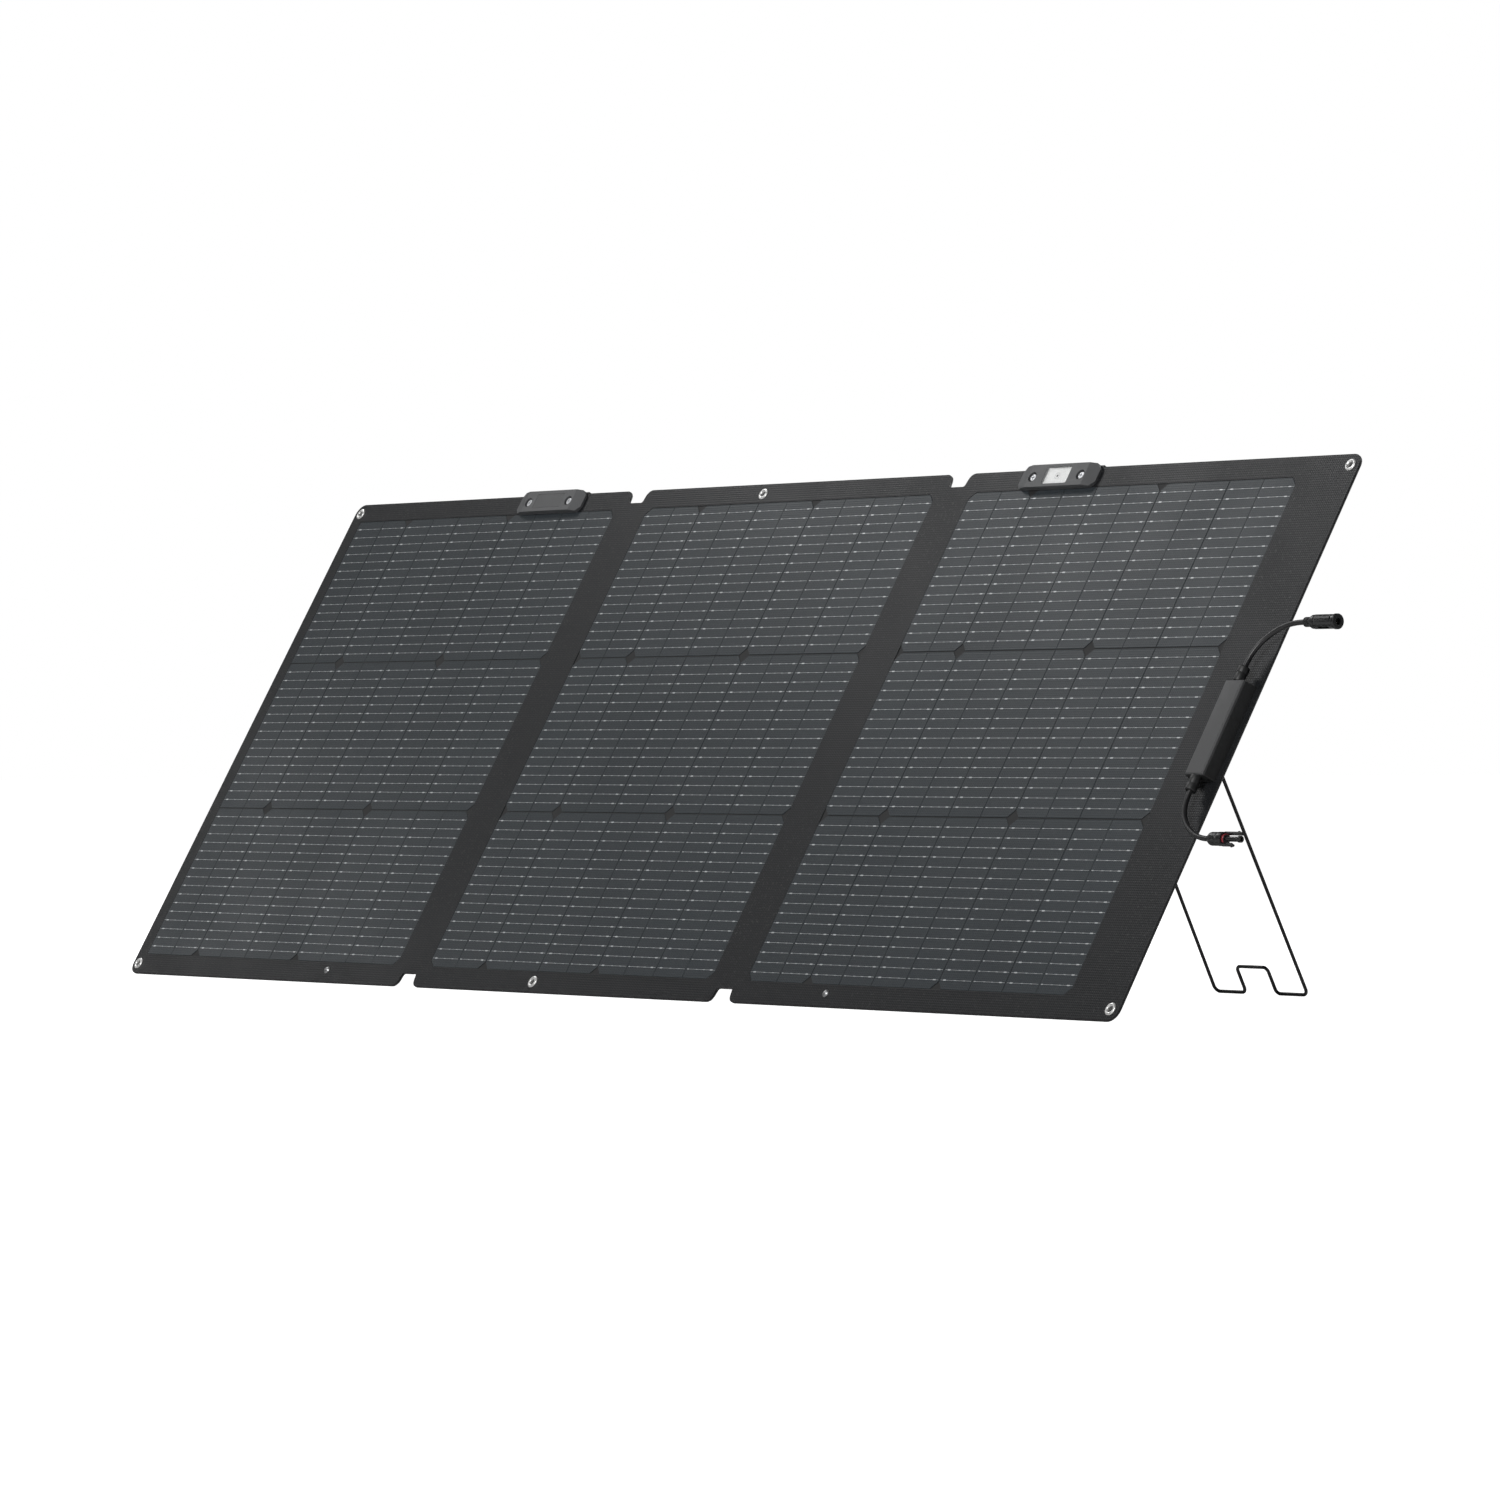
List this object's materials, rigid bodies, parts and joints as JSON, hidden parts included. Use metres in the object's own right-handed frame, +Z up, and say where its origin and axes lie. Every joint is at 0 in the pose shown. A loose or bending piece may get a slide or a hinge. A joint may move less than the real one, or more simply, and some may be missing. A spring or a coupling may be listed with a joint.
{
  "type": "folding solar panel",
  "caption": "Folding camping solar panel with fabric-hinged leaves, wire stands at the back, eyelets and a cable box with its leads.",
  "frame": {"origin": "on the floor under the middle of the footprint, measured without the leads and connectors", "axes": "+X along the width to the right, +Y to the back towards the stands, +Z up"},
  "size_m": [1.7137, 0.5646, 0.5228],
  "materials": {
    "back_fabric": "matte black woven polyester",
    "core_board": "glass-fibre board",
    "face_sheet": "dark insulating sheet",
    "cells": "dark blue-grey silicon under an embossed film",
    "ribbons": "tinned copper",
    "front_film": "charcoal embossed film, satin",
    "eyelets": "bright nickel",
    "block": "dark grey fine-textured nylon",
    "bracket": "black fine-textured nylon",
    "screws": "zinc plated",
    "stand_wire": "black powder-coated spring steel",
    "rivet": "satin nickel",
    "label_plate": "plain grey plate",
    "dial": "white",
    "window": "clear",
    "box": "black fine-textured plastic",
    "box_cover": "dark grey fine-textured plastic",
    "seal": "black silicone",
    "circuit_board": "green solder mask",
    "diode": "black moulded",
    "contacts": "tin-plated copper alloy",
    "gland": "black nylon",
    "lead": "black double-insulated lead",
    "connector": "black nylon",
    "seal_ring": "red silicone"
  },
  "bodies": {
    "middle_leaf": {"middle_back_fabric": "back_fabric", "middle_cells": "cells", "middle_core_board": "core_board", "middle_eyelets": "eyelets", "middle_face_sheet": "face_sheet", "middle_front_film": "front_film", "middle_ribbons": "ribbons"},
    "left_strip": {"left_hinge_back": "back_fabric", "left_hinge_face": "front_film", "left_hinge_jumper": "ribbons"},
    "left_leaf": {"left_back_fabric": "back_fabric", "left_block": "block", "left_bracket": "bracket", "left_cells": "cells", "left_clip_rivet": "rivet", "left_core_board": "core_board", "left_eyelets": "eyelets", "left_face_sheet": "face_sheet", "left_front_film": "front_film", "left_label_plate": "label_plate", "left_ribbons": "ribbons", "left_screws": "screws", "left_stand_clip": "bracket"},
    "right_strip": {"right_hinge_back": "back_fabric", "right_hinge_face": "front_film", "right_hinge_jumper": "ribbons"},
    "right_leaf": {"right_back_fabric": "back_fabric", "right_block": "block", "right_bracket": "bracket", "right_cells": "cells", "right_clip_rivet": "rivet", "right_core_board": "core_board", "right_dial": "dial", "right_eyelets": "eyelets", "right_face_sheet": "face_sheet", "right_front_film": "front_film", "right_ribbons": "ribbons", "right_screws": "screws", "right_stand_clip": "bracket", "right_window": "window", "box_base": "box", "box_circuit_board": "circuit_board", "box_cover": "box_cover", "box_diode": "diode", "box_seal": "seal", "box_terminals": "contacts", "gland_bodies": "gland", "gland_nuts": "gland", "lower_lead": "lead", "plug_body": "connector", "plug_nut": "connector", "plug_pin": "contacts", "plug_seal": "seal_ring", "socket_body": "connector", "socket_contact": "contacts", "socket_nut": "connector", "upper_lead": "lead"},
    "left_stand": {"left_stand_wire": "stand_wire"},
    "right_stand": {"right_stand_wire": "stand_wire"}
  },
  "joints": [
    {"name": "left_inner_crease", "type": "hinge", "parent": "middle_leaf", "child": "left_strip", "pos_m": [-0.2935, -0.1296, 0.25975], "axis": [0, 0.509, 0.8607], "range_deg": [0, 90]},
    {"name": "left_outer_crease", "type": "hinge", "parent": "left_strip", "child": "left_leaf", "pos_m": [-0.3045, -0.1296, 0.25975], "axis": [0, 0.509, 0.8607], "range_deg": [0, 90]},
    {"name": "right_inner_crease", "type": "hinge", "parent": "middle_leaf", "child": "right_strip", "pos_m": [0.2246, -0.1296, 0.25975], "axis": [0, -0.509, -0.8607], "range_deg": [0, 90]},
    {"name": "right_outer_crease", "type": "hinge", "parent": "right_strip", "child": "right_leaf", "pos_m": [0.2506, -0.1296, 0.25975], "axis": [0, -0.509, -0.8607], "range_deg": [0, 90]},
    {"name": "left_stand_swing", "type": "hinge", "parent": "left_leaf", "child": "left_stand", "pos_m": [-0.4446, 0.02303, 0.50408], "axis": [-1, 0, 0], "range_deg": [0, 57.74]},
    {"name": "right_stand_swing", "type": "hinge", "parent": "right_leaf", "child": "right_stand", "pos_m": [0.394, 0.02303, 0.50408], "axis": [-1, 0, 0], "range_deg": [0, 57.74]}
  ]
}
